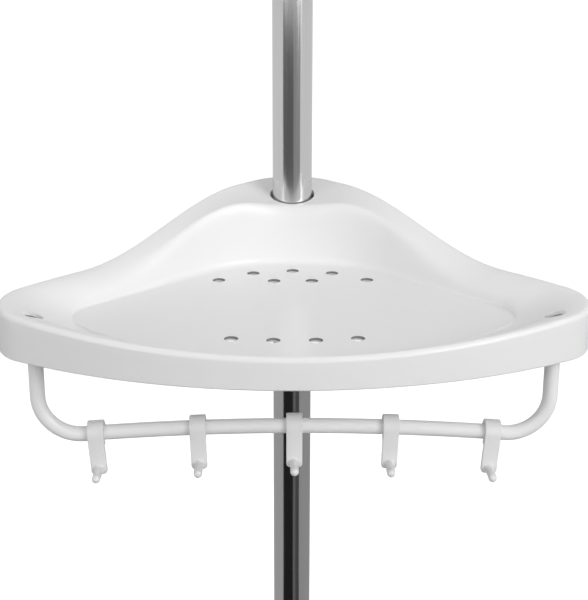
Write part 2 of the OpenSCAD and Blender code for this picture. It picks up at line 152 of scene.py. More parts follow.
print("finishes are ready")

# %% [markdown]
# ## White plastics
# The tray is injection moulded in a glossy resin. Such a wall is never quite flat: the
# melt leaves a slow ripple a few centimetres long and a very fine skin texture. Its
# gloss drifts a little too. Plain noise on Object coordinates gives all three. The
# hooks are another, duller moulding, and the rod has a thick dipped coating with a
# faint orange peel.


# %% Tray, fittings, hooks and rod coating
TONE_DRIFT, GLOSS_DRIFT = 0.006, 0.03


def moulded(name, tone, gloss, ripple, skin, peel=1400.0):
    """White plastic: tone and gloss vary slowly, relief is a slow ripple plus a fine skin."""
    finish = Finish(name)
    slow = finish.noise(26, 3)
    fine = finish.noise(peel, 3)
    cloud = finish.noise(70, 4)
    colour = finish.mix(cloud, grey(tone - TONE_DRIFT), grey(tone + TONE_DRIFT))
    rough = gloss + (cloud - 0.5) * GLOSS_DRIFT + (fine - 0.5) * GLOSS_DRIFT
    finish.set(Base_Color=colour, Roughness=rough, IOR=1.49)
    finish.relief(slow * ripple + fine * skin, 0.6, 0.001)
    return finish.material


tray_plastic = moulded("glossy_white_moulding", 0.86, 0.32, 0.04, 0.004)
fitting_plastic = moulded("satin_white_fitting", 0.82, 0.36, 0.1, 0.012)
hook_plastic = moulded("satin_white_hook", 0.84, 0.4, 0.08, 0.014)
rod_coating = moulded("dipped_white_coating", 0.92, 0.3, 0.16, 0.02, 700.0)
inner_plastic = moulded("natural_grey_moulding", 0.5, 0.5, 0.08, 0.02)
# The dark material for the drains is painted shade: a dark tone on the drains' upper walls that
# stands in for the shadow inside the holes.
drain_painted_shade = moulded("painted_shade_in_the_drains", 0.24, 0.5, 0.08, 0.02)
print("plastics:", tray_plastic.name, fitting_plastic.name, hook_plastic.name, rod_coating.name)

# %% [markdown]
# ## Brushed steel
# The tubes are polished along their length on a belt, which leaves hair-fine lines that
# run with the tube. Noise squeezed hard round the tube and stretched along it gives
# them. The lines feed the roughness and a small bump. The slow cloud stands for
# handling and water marks.


# %% Steel, zinc and rubber
def brushed(name, tone, gloss, along):
    """Bright metal with fine lines: noise stretched by the factors in along."""
    finish = Finish(name)
    lines = finish.noise(900, 4, along)
    broad = finish.noise(160, 3, along)
    cloud = finish.noise(24, 4)
    colour = finish.mix(lines * 0.6 + broad * 0.4, grey(tone - 0.07), grey(tone + 0.06))
    rough = gloss + (lines - 0.5) * 0.1 + (cloud - 0.5) * 0.04
    finish.set(Base_Color=colour, Metallic=1.0, Roughness=rough)
    finish.relief(lines * 0.7 + broad * 0.3, 0.12, 0.0002)
    return finish.material


brushed_steel = brushed("brushed_pole_steel", 0.74, 0.13, (1, 1, 0.012))
zinc_steel = brushed("zinc_plated_steel", 0.7, 0.34, (1, 1, 1))

pad_rubber = Finish("grey_pad_rubber")
crumb = pad_rubber.noise(900, 4)
patch = pad_rubber.noise(60, 3)
pad_rubber.set(
    Base_Color=pad_rubber.mix(patch, grey(0.045), grey(0.075)),
    Roughness=0.72 + (crumb - 0.5) * 0.2,
)
pad_rubber.relief(crumb, 0.35, 0.0003)
pad_rubber = pad_rubber.material
print("metals and rubber:", brushed_steel.name, zinc_steel.name, pad_rubber.name)

# %% [markdown]
# ## From arrays to pieces
# A surface is a grid of points: rows run one way and columns the other. The helper below
# joins neighbours into four-sided faces. Rows and columns may close into a ring. A
# piece's points are merged where a pole or seam meets, and edges sharper than 32
# degrees stay crisp while the rest shades smoothly.


# %% Grids and pieces
CRISP_DEGREES = 32


def grid_faces(rows, columns, ring_rows=False, ring_columns=True):
    """Faces of a rows by columns grid, four corners each, in turning order."""
    i = np.arange(rows if ring_rows else rows - 1)[:, None]
    j = np.arange(columns if ring_columns else columns - 1)[None, :]
    up, along = (i + 1) % rows, (j + 1) % columns
    corners = [i * columns + j, i * columns + along, up * columns + along, up * columns + j]
    return np.stack(np.broadcast_arrays(*corners), axis=-1).reshape(-1, 4)


def mesh_object(name, points, faces):
    """Object at the origin whose mesh holds the points, given in millimetres."""
    mesh = bpy.data.meshes.new(name)
    mesh.from_pydata((np.asarray(points) * MM).tolist(), [], [list(face) for face in faces])
    made = bpy.data.objects.new(name, mesh)
    bpy.context.scene.collection.objects.link(made)
    return made


def close_up(made, outward=True):
    """Merges points that coincide, drops flat slivers, and turns all faces outward."""
    work = bmesh.new()
    work.from_mesh(made.data)
    bmesh.ops.remove_doubles(work, verts=work.verts, dist=1e-7)
    bmesh.ops.dissolve_degenerate(work, dist=1e-8, edges=work.edges)
    if outward:
        bmesh.ops.recalc_face_normals(work, faces=work.faces)
    work.to_mesh(made.data)
    work.free()
    return made


def dress(made, material, body, slot, *nodes):
    """Shades a piece, gives it its finish and its body, and hides the nodes that it stands for."""
    made.data.materials.clear()
    made.data.materials.append(material)
    made.data.shade_smooth()
    made.data.set_sharp_from_angle(angle=math.radians(CRISP_DEGREES))
    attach(made, body)
    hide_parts(*nodes)
    print(f"{made.name}: {len(made.data.polygons)} faces, on {body}")


# %% [markdown]
# ## Turned pieces
# Tubes, cups, pads and collars are round. A profile turned about the pole's axis makes
# each one, as on a lathe. Real edges are never razor sharp, so each corner of the
# profile is first replaced with a short curve.


# %% Rounded profiles and the lathe
def rounded(corners, radii, steps=5):
    """Closed outline with round corners. Each corner C becomes the curve
    (1-t)^2 A + 2t(1-t) C + t^2 B, where A and B lie one radius away on its two sides."""
    c = np.asarray(corners, float)
    radii = np.broadcast_to(np.asarray(radii, float), len(c))
    before, after = np.roll(c, 1, axis=0) - c, np.roll(c, -1, axis=0) - c
    short = np.minimum(np.linalg.norm(before, axis=1), np.linalg.norm(after, axis=1))
    reach = np.minimum(radii, 0.49 * short)[:, None]
    a = c + before / np.linalg.norm(before, axis=1)[:, None] * reach
    b = c + after / np.linalg.norm(after, axis=1)[:, None] * reach
    t = np.linspace(0, 1, steps)[None, :, None]
    curve = (1 - t) ** 2 * a[:, None] + 2 * t * (1 - t) * c[:, None] + t**2 * b[:, None]
    return curve.reshape(-1, 2)


def turned(name, profile, segments=128, hang=False, swell=None):
    """Ring of profiles: point (r, z) goes to (r cos a, r sin a, z) for each angle a.
    With hang it is turned upside down under the ceiling, and swell adds to r."""
    angle = np.linspace(0, 2 * np.pi, segments, endpoint=False)[None, :]
    r, z = profile[:, :1], profile[:, 1:]
    if swell is not None:
        r = r + swell(r, z, angle)
    if hang:
        z = TOTAL_HEIGHT - z
    points = np.stack(np.broadcast_arrays(r * np.cos(angle), r * np.sin(angle), z), axis=-1)
    faces = grid_faces(len(profile), segments, ring_rows=True)
    return close_up(mesh_object(name, points.reshape(-1, 3), faces))


def tube_profile(outer, bore, foot, top, edge=0.3):
    return rounded([(outer, foot), (outer, top), (bore, top), (bore, foot)], edge)


print("lathe ready")

# %% [markdown]
# ## The two tubes
# The lower tube is what the eye sees, above and below the tray. The upper one slides
# inside it. Both are plain tubes with broken edges. 192 segments keep the long
# reflections straight.

# %% Tubes
dress(
    turned("pole_lower_tube", tube_profile(TUBE_R, TUBE_BORE_R, TUBE_FOOT, TUBE_TOP), 192),
    brushed_steel,
    "pole",
    "brushed_steel",
    "lower_tube",
)
dress(
    turned("pole_upper_tube", tube_profile(UPPER_R, UPPER_BORE_R, UPPER_FOOT, UPPER_TOP), 192),
    brushed_steel,
    "upper_pole",
    "brushed_steel",
    "upper_tube",
)

# %% [markdown]
# ## Cups and pads
# Each end of the pole sits in a flared plastic cup with a rubber pad plugged into it.
# The cup's flare is a quarter circle. The same two profiles make both ends, once
# upright and once hanging.

# %% Cup and pad profiles
PAD_R, PAD_T, SPIGOT_R, PAD_TOP = 30, 4, 23, 7
CUP_TOP, CUP_FLANGE_TOP, CUP_WALL = 38, 9, 4


def pad_profile():
    """Disc with two grooves in its face and a spigot behind."""
    grooves = [(PAD_R, 0), (22.5, 0), (22.5, 1), (21, 1), (21, 0)]
    grooves += [(13.5, 0), (13.5, 1), (12, 1), (12, 0), (0, 0)]
    back = [(0, PAD_TOP), (SPIGOT_R, PAD_TOP), (SPIGOT_R, PAD_T), (PAD_R, PAD_T)]
    radii = [1.2, 0.3, 0.3, 0.3, 0.3, 0.3, 0.3, 0.3, 0.3, 0, 0, 0.8, 0.3, 1.2]
    return rounded(grooves + back, radii)


def cup_profile(tube_r):
    """Flange, quarter-circle flare, neck, then back down inside round the tube and pad."""
    neck = tube_r + CUP_WALL
    flare = PAD_R - neck
    turn = np.linspace(-np.pi / 2, -np.pi, 24)[:, None]
    height = CUP_FLANGE_TOP + flare + flare * np.sin(turn)
    curve = np.hstack([PAD_R + flare * np.cos(turn), height])
    flange = [(PAD_R, PAD_T), (PAD_R, CUP_FLANGE_TOP), (PAD_R - 4, CUP_FLANGE_TOP)]
    rim = rounded(flange, [0.6, 0.8, 0])[:10]
    inner_r = tube_r + RUNNING
    mouth = [(neck, CUP_TOP), (tube_r + 1.2, CUP_TOP), (inner_r, CUP_TOP - 1.5)]
    inside = [(inner_r, TUBE_FOOT), (0, TUBE_FOOT), (0, PAD_TOP), (SPIGOT_R + RUNNING, PAD_TOP)]
    inside += [(SPIGOT_R + RUNNING, PAD_T)]
    lip = rounded([(neck, 30)] + mouth + inside, [0, 1, 0.6, 0.2, 0.2, 0, 0, 0.2, 0.3])[5:]
    return np.vstack([rim, curve, lip])


# %% Cups and pads
for end, hang, tube_r, body in (
    ("foot", False, TUBE_R, "pole"),
    ("ceiling", True, UPPER_R, "upper_pole"),
):
    pad = turned(f"{end}_rubber_pad", pad_profile(), hang=hang)
    dress(pad, pad_rubber, body, "pad_rubber", f"{end}_pad")
    cup = turned(f"{end}_flared_cup", cup_profile(tube_r), hang=hang)
    dress(cup, fitting_plastic, body, "fitting_plastic", f"{end}_cup")

# %% [markdown]
# ## The lock
# A collar on the lower tube carries a split collet, and a fluted ring pulls the collet
# tight round the upper tube. The ring is turned too, but its radius dips eighteen times
# round the circle: that is a lathe profile whose radius also depends on the angle.

# %% Lock body and twist ring
LOCK_FOOT, LOCK_TOP, NECK_FOOT = 474, 508, 494
LOCK_R, NECK_R, COLLET_R, COLLET_FOOT = 16.5, 14.25, 13.1, 499
RING_FOOT, RING_TOP, RING_R = 494.4, 517, 18
FLUTES, FLUTE_DEPTH = 18, 1.2


def flutes(r, z, angle):
    """Dips shaped as ((1 + cos) / 2)^3, on the outer skin only, fading near the top."""
    outside = np.clip((r - (RING_R - 1.5)) / 1.0, 0, 1)
    fade = np.clip((RING_TOP - 3.2 - z) / 1.5, 0, 1)
    dip = ((1 + np.cos(FLUTES * angle)) / 2) ** 3
    return -FLUTE_DEPTH * outside * fade * dip


lock_body = rounded(
    [
        (LOCK_R - 2, LOCK_FOOT),
        (LOCK_R, LOCK_FOOT + 2),
        (LOCK_R, NECK_FOOT),
        (NECK_R, NECK_FOOT),
        (NECK_R, LOCK_TOP),
        (COLLET_R + RUNNING, LOCK_TOP),
        (COLLET_R + RUNNING, COLLET_FOOT),
        (UPPER_R + RUNNING, COLLET_FOOT),
        (UPPER_R + RUNNING, TUBE_TOP),
        (TUBE_R + RUNNING, TUBE_TOP),
        (TUBE_R + RUNNING, LOCK_FOOT),
    ],
    [0.6, 0.6, 0.5, 0.2, 0.4, 0.2, 0.2, 0.2, 0.2, 0.2, 0.3],
)
wall_z = np.linspace(RING_FOOT + 0.5, RING_TOP - 2.2, 24)[:, None]
ring_skin = np.hstack([np.full_like(wall_z, RING_R), wall_z])
ring_rest = rounded(
    [
        (RING_R, RING_TOP - 2),
        (RING_R - 2, RING_TOP),
        (UPPER_R + 1, RING_TOP),
        (COLLET_R + 1.5, LOCK_TOP + 0.4),
        (NECK_R + 0.4, LOCK_TOP + 0.4),
        (NECK_R + 0.4, RING_FOOT),
        (RING_R, RING_FOOT),
    ],
    [0.8, 0.8, 0.3, 0.2, 0.2, 0.3, 0.5],
)
dress(turned("lock_collar", lock_body), fitting_plastic, "pole", "fitting_plastic", "lock_body")
dress(
    turned("lock_twist_ring", np.vstack([ring_skin, ring_rest]), 432, swell=flutes),
    fitting_plastic,
    "lock_twist",
    "fitting_plastic",
    "lock_ring",
)

# %% [markdown]
# ## The rod
# The hook rail is one steel rod, bent in two places and dipped in white plastic. A
# circle carried along the rod's centre line makes it. The line is two posts, two tight
# bends and one long, nearly flat arch. At each end the circle turns in on itself and
# goes down a tapped hole for the screw.

# %% Centre line of the rod
RAIL_R, RAIL_Y = 4.25, -147.40
POST_X, BEND_R, ARCH_R = 142.686, 23, 1500
BEND_X, BEND_Z, ARCH_CZ = POST_X - BEND_R, 265.29, -1253
ARCH_HALF = math.asin(BEND_X / (ARCH_R + BEND_R))
RAIL_END, BORE_R, BORE_DEPTH = 303.4, 2.06, 12


def right_half_of_rod():
    """Points and headings from the arch's crown to the right post's top: the arch is a
    circle about (0, ARCH_CZ), the bend a circle about (BEND_X, BEND_Z), the post straight."""
    a = np.linspace(0, ARCH_HALF, 60)
    arch = np.stack([ARCH_R * np.sin(a), ARCH_CZ + ARCH_R * np.cos(a)], axis=1)
    b = np.linspace(-np.pi / 2 - ARCH_HALF, 0, 40)[1:]
    bend = np.stack([BEND_X + BEND_R * np.cos(b), BEND_Z + BEND_R * np.sin(b)], axis=1)
    z = np.linspace(BEND_Z, RAIL_END - 0.4, 14)[1:]
    post = np.stack([np.full_like(z, POST_X), z], axis=1)
    heading = np.concatenate([-a, b + np.pi / 2, np.full_like(z, np.pi / 2)])
    return np.vstack([arch, bend, post]), heading


line, heading = right_half_of_rod()
half_length = np.linalg.norm(np.diff(line, axis=0), axis=1).sum()
print("rod's half length", round(float(half_length), 1), "mm")


# %% Rod
def carried(centre, heading, radius, sides=48):
    """Circle carried along a line in the XZ plane: point = centre + radius (cos f n + sin f y),
    where n is square to the heading."""
    f = np.linspace(0, 2 * np.pi, sides, endpoint=False)[None, :]
    n = np.stack([-np.sin(heading), np.cos(heading)], axis=1)[:, None, :]
    ring = centre[:, None, :] + radius[:, None, None] * np.cos(f)[..., None] * n
    y = RAIL_Y + radius[:, None] * np.sin(f)
    return np.stack([ring[..., 0], y, ring[..., 1]], axis=-1)


end_z = np.array([-0.25, -0.1, 0, 0, -0.3, -BORE_DEPTH, -BORE_DEPTH]) + RAIL_END
end_r = np.array([4.2, 4.05, 3.85, BORE_R + 0.3, BORE_R, BORE_R, 0])
tip = np.stack([np.full_like(end_z, POST_X), end_z], axis=1)
centre = np.vstack([line, tip])
turn = np.concatenate([heading, np.full_like(end_z, np.pi / 2)])
radius = np.concatenate([np.full(len(line), RAIL_R), end_r])
mirror = np.array([-1, 1])
centre = np.vstack([centre[:0:-1] * mirror, centre])
turn = np.concatenate([-turn[:0:-1], turn])
radius = np.concatenate([radius[:0:-1], radius])
rod_points = carried(centre, turn, radius)
rod = close_up(mesh_object("hook_rod", rod_points.reshape(-1, 3), grid_faces(len(centre), 48)))
dress(rod, rod_coating, "shelf", "rail_coating", "hook_rail")

# %% [markdown]
# ## The tray's plan
# The tray fills a square corner. Its front is one long arc, its two sides run at 45
# degrees to the middle line, and its corners and the nose behind the pole are round.
# The floor inside has the same kind of outline, only smaller. Both outlines are found
# by shooting rays from one middle point, so ray number k of one meets ray number k of
# the other, and straight spans can be drawn between them.

# %% Outlines by rays
PLAN_CENTRE = np.array([0, -110.55])
#             front radius, its centre's y, wall corner, corner radius, nose radius
TRAY_PLAN = (288, 87, 40, 27, 34)
FLOOR_PLAN = (158, -32, 40 - 18.4 * math.sqrt(2), 22, 86)


def circle_distance(way, centre, radius):
    """Distance from the plan centre along each ray to a circle's far side, or -1."""
    q = PLAN_CENTRE - np.asarray(centre)
    b = way @ q
    h = b**2 - q @ q + radius**2
    return np.where(h < 0, -1, -b + np.sqrt(np.maximum(h, 0)))


def corner_centre(plan):
    """Centre of the corner circle that touches the front arc and the 45 degree side."""
    front_r, front_y, wall_corner, corner_r, _ = plan
    k = wall_corner - corner_r * math.sqrt(2)
    m, r = k - front_y, front_r - corner_r
    x = (m + math.sqrt(2 * r * r - m * m)) / 2
    return np.array([x, k - x])


def outline(plan, angle):
    """Where each ray leaves the right half of a plan."""
    front_r, front_y, wall_corner, corner_r, nose_r = plan
    way = np.stack([np.cos(angle), np.sin(angle)], axis=1)
    corner_c = corner_centre(plan)
    nose_c = np.array([0, wall_corner - nose_r * math.sqrt(2)])
    reach_corner = circle_distance(way, corner_c, corner_r)
    reach_nose = circle_distance(way, nose_c, nose_r)
    front = PLAN_CENTRE + way * circle_distance(way, (0, front_y), front_r)[:, None]
    corner = PLAN_CENTRE + way * reach_corner[:, None]
    nose = PLAN_CENTRE + way * reach_nose[:, None]
    across = (wall_corner - PLAN_CENTRE.sum()) / way.sum(axis=1).clip(1e-6)
    side = PLAN_CENTRE + way * across[:, None]
    join = corner_c - [0, front_y]
    on_front = np.arctan2(front[:, 1] - front_y, front[:, 0]) <= math.atan2(join[1], join[0])
    bearing = np.arctan2(corner[:, 1] - corner_c[1], corner[:, 0] - corner_c[0])
    on_corner = (reach_corner > 0) & (bearing <= np.pi / 4)
    on_nose = (reach_nose > 0) & (nose[:, 0] <= nose_r / math.sqrt(2)) & (angle > 0)
    choice = np.where(on_front, 0, np.where(on_corner, 1, np.where(on_nose, 2, 3)))
    return np.choose(choice[:, None], [front, corner, nose, side])


right = np.radians(
    np.concatenate(
        [
            np.linspace(-90, -30, 50, endpoint=False),
            np.linspace(-30, 8, 90, endpoint=False),
            np.linspace(8, 90, 80),
        ]
    )
)
half_outer, half_floor = outline(TRAY_PLAN, right), outline(FLOOR_PLAN, right)
flip = np.array([-1, 1])
outer = np.vstack([half_outer, half_outer[-2:0:-1] * flip])
floor = np.vstack([half_floor, half_floor[-2:0:-1] * flip])
print("tray is", np.ptp(outer, axis=0).round(1), "mm")

# %% [markdown]
# ## The tray's height
# The rim is low in front, higher along the walls, and swells up behind the pole to hold
# the socket. From the rim the top first slopes gently inwards, then rolls over and
# drops to the floor. One section, drawn along each ray, describes all of it, and its
# numbers change smoothly from ray to ray.

# %% How rim and slopes change round the tray
TRAY_FRONT, NOSE_R = 201, 34
SIDE_Y = -corner_centre(TRAY_PLAN)[1] * 0.7
RIM_H, SIDE_H, BOSS_H, FLOOR_H, CREST_R, WALL = 18, 29, 58.5, 13, 3, 2.4
SWELL_REACH = 2.7
SIDE_FALL, BOSS_FALL = 0.27, 0.23
SIDE_BEND, BOSS_BEND = 0.8, -0.7
LAND_FRONT, LAND_SIDE, LAND_BOSS = 0.2, 0.36, 0.3
SOFT_SIDE, SOFT_FRONT = 0.2, 0.9
past_nose = np.clip((abs(outer[:, 0]) - NOSE_R) / (SWELL_REACH * NOSE_R), 0, 1)
swell = (1 + np.cos(np.pi * past_nose)) / 2
swell = np.where(outer[:, 1] < -SIDE_Y, 0, swell)
way_up = np.clip((outer[:, 1] + TRAY_FRONT) / (TRAY_FRONT - SIDE_Y), 0, 1)
climb = way_up * (2 - way_up)
crest = RIM_H + (SIDE_H - RIM_H) * climb + (BOSS_H - SIDE_H) * swell
fall = SIDE_FALL + (BOSS_FALL - SIDE_FALL) * swell
bend = SIDE_BEND + (BOSS_BEND - SIDE_BEND) * swell
land_share = LAND_FRONT + LAND_SIDE * climb + LAND_BOSS * swell
softness = SOFT_SIDE + SOFT_FRONT * (1 - climb) ** 2
span = np.linalg.norm(floor - outer, axis=1)
inward = (floor - outer) / span[:, None]
print("rim runs from", round(float(crest.min()), 1), "to", round(float(crest.max()), 1), "mm")


# %% Section of the top along every ray
def top_section(crest, span, fall, bend, share, soft, foot=5.0):
    """Arrays (ray, step) of distance in and height: skirt, quarter circle, land that drops
    fall * land * t * (1 - bend * (1 - t)) over its length, wall that drops as
    (1 - u^2)^soft, and a round foot that runs out on the floor."""
    numbers = (crest, span, fall, bend, share, soft)
    crest, span, fall, bend, share, soft = (v[:, None] for v in numbers)
    land_long = share * (span - CREST_R)
    land_end, end_h = CREST_R + land_long, crest - fall * land_long
    up = np.linspace(0, 1, 8)[None, :]
    skirt = (0 * up, 0.6 + (crest - CREST_R - 0.6) * up)
    a = np.linspace(0, np.pi / 2, 12)[None, 1:]
    over = (CREST_R * (1 - np.cos(a)), crest - CREST_R * (1 - np.sin(a)))
    s = np.linspace(0, 1, 14)[None, 1:]
    land = (CREST_R + land_long * s, crest - fall * land_long * s * (1 - bend * (1 - s)))
    u = np.sin(np.linspace(0, np.pi / 2, 40))[None, 1:-1]
    run = (span - land_end) * u
    drop = (end_h - fall * (1 + bend) * run - FLOOR_H) * (1 - u**2) ** soft
    wall = (land_end + run, FLOOR_H + drop)
    lean_x, lean_z = wall[0][:, -1:] - span, wall[1][:, -1:] - FLOOR_H
    length = np.hypot(lean_x, lean_z)
    reach = np.minimum(foot, 0.8 * length)
    t = np.linspace(0, 1, 8)[None, :]
    foot_x = span + (1 - t) ** 2 * lean_x / length * reach + t**2 * reach
    foot_z = FLOOR_H + (1 - t) ** 2 * lean_z / length * reach
    out_x = span + reach + np.array([[1.0, 2.0]])
    run_out = (out_x, FLOOR_H + 0 * out_x)
    parts = [skirt, over, land, wall, (foot_x, foot_z), run_out]
    rays = len(crest)
    return [
        np.hstack([np.broadcast_to(part[k], (rays, part[k].shape[1])) for part in parts])
        for k in (0, 1)
    ]


top_x, top_z = top_section(crest, span, fall, bend, land_share, softness)
step_x, step_z = np.gradient(top_x, axis=1), np.gradient(top_z, axis=1)
step = np.hypot(step_x, step_z)
under_x = np.maximum(WALL, top_x + WALL * step_z / step)[:, 8:]
under_z = (top_z - WALL * step_x / step)[:, 8:]
under_x[:, -2:], under_z[:, -2:] = top_x[:, -2:], FLOOR_H - WALL
rim_x = np.broadcast_to([[WALL, WALL - 0.5, 0.5]], (len(outer), 3))
rim_z = np.broadcast_to([[0.5, 0, 0]], (len(outer), 3))
section_x = np.hstack([under_x[:, ::-1], rim_x, top_x])
section_z = np.hstack([under_z[:, ::-1], rim_z, top_z])
print("section has", section_x.shape[1], "steps on", section_x.shape[0], "rays")

# %% [markdown]
# ## The tray's shell
# The sections become rings of points, and two flat faces close the floor. The shell is
# a closed solid with a real wall all over, so the underside is as true as the top.

# %% Shell
flat = outer[:, None, :] + inward[:, None, :] * section_x[..., None]
shell_points = np.concatenate([flat, TRAY_Z + section_z[..., None]], axis=-1)
shell_points = shell_points.transpose(1, 0, 2).reshape(-1, 3)
rays, steps = section_x.shape
shell_faces = grid_faces(steps, rays).tolist()
shell_faces += [list(range(rays)), list(range((steps - 1) * rays, steps * rays))]
shell = close_up(mesh_object("corner_tray", shell_points, shell_faces))
print("shell:", len(shell.data.vertices), "points")

# %% [markdown]
# ## Socket, posts, ribs and holes
# Under the tray a tapered socket takes the wedge, two posts take the rod's ends, and
# four ribs stiffen the floor. They are joined to the shell with a Boolean modifier, and
# a second one cuts the holes: the pole's bore, the screw recesses, the rod's holes and
# the eleven drains. Their edges get a small chamfer from the cutter's own shape.


# %% Solids to join and to cut
def solid(name, profile, at=(0, 0), segments=64):
    """Turned solid that stands at a point of the plan. The profile runs from axis to axis."""
    made = turned(name, np.asarray(profile, float), segments)
    made.data.transform(Matrix.Translation((at[0] * MM, at[1] * MM, 0)))
    return made


def rod_profile(radius, foot, top):
    return [(0, foot), (radius, foot), (radius, top), (0, top)]


def rib(name, start, end, foot, top, thick=2.0):
    """Upright board between two points of the plan."""
    start, end = np.asarray(start, float), np.asarray(end, float)
    side = (end - start)[::-1] * [-1, 1] / np.linalg.norm(end - start) * thick / 2
    plan = np.array([start - side, end - side, end + side, start + side])
    points = np.vstack([np.c_[plan, np.full(4, foot)], np.c_[plan, np.full(4, top)]])
    faces = [(0, 1, 2, 3), (4, 5, 6, 7), (0, 1, 5, 4), (1, 2, 6, 5), (2, 3, 7, 6), (3, 0, 4, 7)]
    return close_up(mesh_object(name, points, faces))


def boolean(target, others, operation):
    """Applies one exact Boolean of all the others to the target, then removes them."""
    group = bpy.data.collections.new(operation)
    for other in others:
        group.objects.link(other)
    step = target.modifiers.new(operation, "BOOLEAN")
    step.operation, step.solver, step.operand_type = operation, "EXACT", "COLLECTION"
    step.collection = group
    view = bpy.context.evaluated_depsgraph_get()
    result = bpy.data.meshes.new_from_object(target.evaluated_get(view))
    target.modifiers.clear()
    target.data = result
    for other in others:
        bpy.data.objects.remove(other)
    bpy.data.collections.remove(group)
    return target


POSTS = [(-POST_X, RAIL_Y), (POST_X, RAIL_Y)]
SOCKET_FOOT, SOCKET_TOP_R, SOCKET_FOOT_R = 6, 13.8, 15.8
SOCKET_R, SOCKET_TOP = 18.6, 36
POST_R, POST_FOOT, RECESS_FLOOR = 7.25, 2, 16
RIB_X, RIB_FOOT = 18.4, TRAY_Z + SOCKET_FOOT
floor_low = TRAY_Z + FLOOR_H - WALL + 0.4
added = [solid("socket", rod_profile(SOCKET_R, RIB_FOOT, TRAY_Z + SOCKET_TOP), segments=96)]
post = rod_profile(POST_R, TRAY_Z + POST_FOOT, TRAY_Z + RECESS_FLOOR)
added += [solid("post", post, at) for at in POSTS]
for way in (-1, 1):
    start, end = (way * 12.2, -12.2), (way * (POST_X - 3.6), RAIL_Y + 3.6)
    added.append(rib("corner_rib", start, end, RIB_FOOT, floor_low))
    start, end = (way * RIB_X, -6.9), (way * RIB_X, -199)
    added.append(rib("front_rib", start, end, RIB_FOOT, floor_low))
tray = boolean(shell, added, "UNION")
print("with socket, posts and ribs:", len(tray.data.polygons), "faces")

# %% Where the drains are
FLOOR_BACK = FLOOR_PLAN[2] - FLOOR_PLAN[4] * (math.sqrt(2) - 1)
ARC_R, ROW_R, PITCH, ARC_SPREAD = 65, 190, 23, 1.08
ARC_BACK, PAIR_BACK, ROW_FRONT, FLOOR_FRONT = 16, 36, 29, 190
arc = np.arange(-2, 3) * 2 * math.asin(PITCH / 2 / ARC_R) * ARC_SPREAD
row = (np.arange(4) - 1.5) * 2 * math.asin(PITCH / 2 / ROW_R)
arc_y, row_y = FLOOR_BACK - ARC_BACK - ARC_R, ROW_FRONT - FLOOR_FRONT + ROW_R
drains = np.vstack(
    [
        np.stack([ARC_R * np.sin(arc), arc_y + ARC_R * np.cos(arc)], axis=1),
        [[-PITCH / 2, FLOOR_BACK - PAIR_BACK], [PITCH / 2, FLOOR_BACK - PAIR_BACK]],
        np.stack([ROW_R * np.sin(row), row_y - ROW_R * np.cos(row)], axis=1),
    ]
)
print(len(drains), "drains")

# %% Cut the holes
top = TRAY_Z + FLOOR_H
# The third number is the depth of the band of painted shade at the top of each drain wall. The
# cutter gets an edge at that depth so that the band's faces can be picked.
DRAIN_R, DRAIN_EDGE_R, SHADE_BAND_DEPTH = 3.7, 3.9, 1.4
drain_cut = [(0, top - 6), (DRAIN_R, top - 6), (DRAIN_R, top - SHADE_BAND_DEPTH)]
drain_cut += [(DRAIN_R, top - 0.2), (DRAIN_EDGE_R, top), (DRAIN_EDGE_R, top + 1), (0, top + 1)]
cone_top = TRAY_Z + BOSS_H + 4
bore_cut = [
    (0, TRAY_Z - 2),
    (SOCKET_FOOT_R, TRAY_Z - 2),
    (SOCKET_FOOT_R, TRAY_Z + SOCKET_FOOT),
    (SOCKET_TOP_R, cone_top),
    (0, cone_top),
]
RECESS_R, THREAD_HOLE_R = 5.75, 2.2
head = TRAY_Z + RECESS_FLOOR
post_cut = [
    (0, TRAY_Z - 1),
    (RAIL_R + RUNNING, TRAY_Z - 1),
    (RAIL_R + RUNNING, RAIL_END),
    (THREAD_HOLE_R, RAIL_END),
    (THREAD_HOLE_R, head),
    (RECESS_R, head),
    (RECESS_R, head + 30),
    (0, head + 30),
]
cutters = [solid("drain", drain_cut, at, 40) for at in drains]
cutters += [solid("bore", bore_cut, segments=128)]
cutters += [solid("post_bore", post_cut, at) for at in POSTS]
tray = close_up(boolean(tray, cutters, "DIFFERENCE"), outward=False)
dress(tray, tray_plastic, "shelf", "tray_plastic", "tray")

# %% [markdown]
# ## Painted shade in the drains
# The upper walls of each drain get a second, dark material: painted shade that stands in for the
# shadow inside the holes. A vertex colour or a mask would also darken the floor's underside, so the
# faces of the upper walls are picked by their place and direction.

# %% Painted shade on the drains' upper walls
faces = tray.data.polygons
centres, normals = np.empty(len(faces) * 3), np.empty(len(faces) * 3)
faces.foreach_get("center", centres)
faces.foreach_get("normal", normals)
centres, normals = centres.reshape(-1, 3) / MM, normals.reshape(-1, 3)
to_drain = np.linalg.norm(centres[:, None, :2] - drains[None], axis=2).min(axis=1)
below = top - centres[:, 2]
upright = abs(normals[:, 2]) < 0.9
# Faces of the drains' upper walls, which get the dark material as painted shade.
painted_shade_faces = (to_drain < DRAIN_EDGE_R + 0.05) & upright & (below > 0) & (below < SHADE_BAND_DEPTH)
tray.data.materials.append(drain_painted_shade)
faces.foreach_set("material_index", painted_shade_faces.astype(np.int32))
print("faces with painted shade:", int(painted_shade_faces.sum()))

# %% [markdown]
# ## The hooks
# A hook is one strip of plastic: it curls over the rod, snaps shut behind, and runs down
# in front as a strap with a round peg. A rounded rectangle carried along that line
# gives soft edges all round. The curl and the strap are two strips joined with a
# Boolean, and the peg is a third swept shape with a flared root.

# %% Strips and pegs
HOOK_W, CLIP_WALL, STRAP_L = 9, 2.9, 22.5
CLIP_BORE_R = RAIL_R + RUNNING
CLIP_R = CLIP_BORE_R + CLIP_WALL
PEG_R, PEG_L, PEG_TILT, PEG_RISE = 2.35, 15, math.radians(3), 3.055
END_ROUND, EDGE_ROUND, TOE_ROUND = 0.7, 0.45, 2.2


def inset(distance, radius):
    """How far a round end of this radius pulls the side in: r - sqrt(r^2 - (r - d)^2)."""
    d = np.minimum(distance, radius)
    return radius - np.sqrt(radius**2 - (radius - d) ** 2)


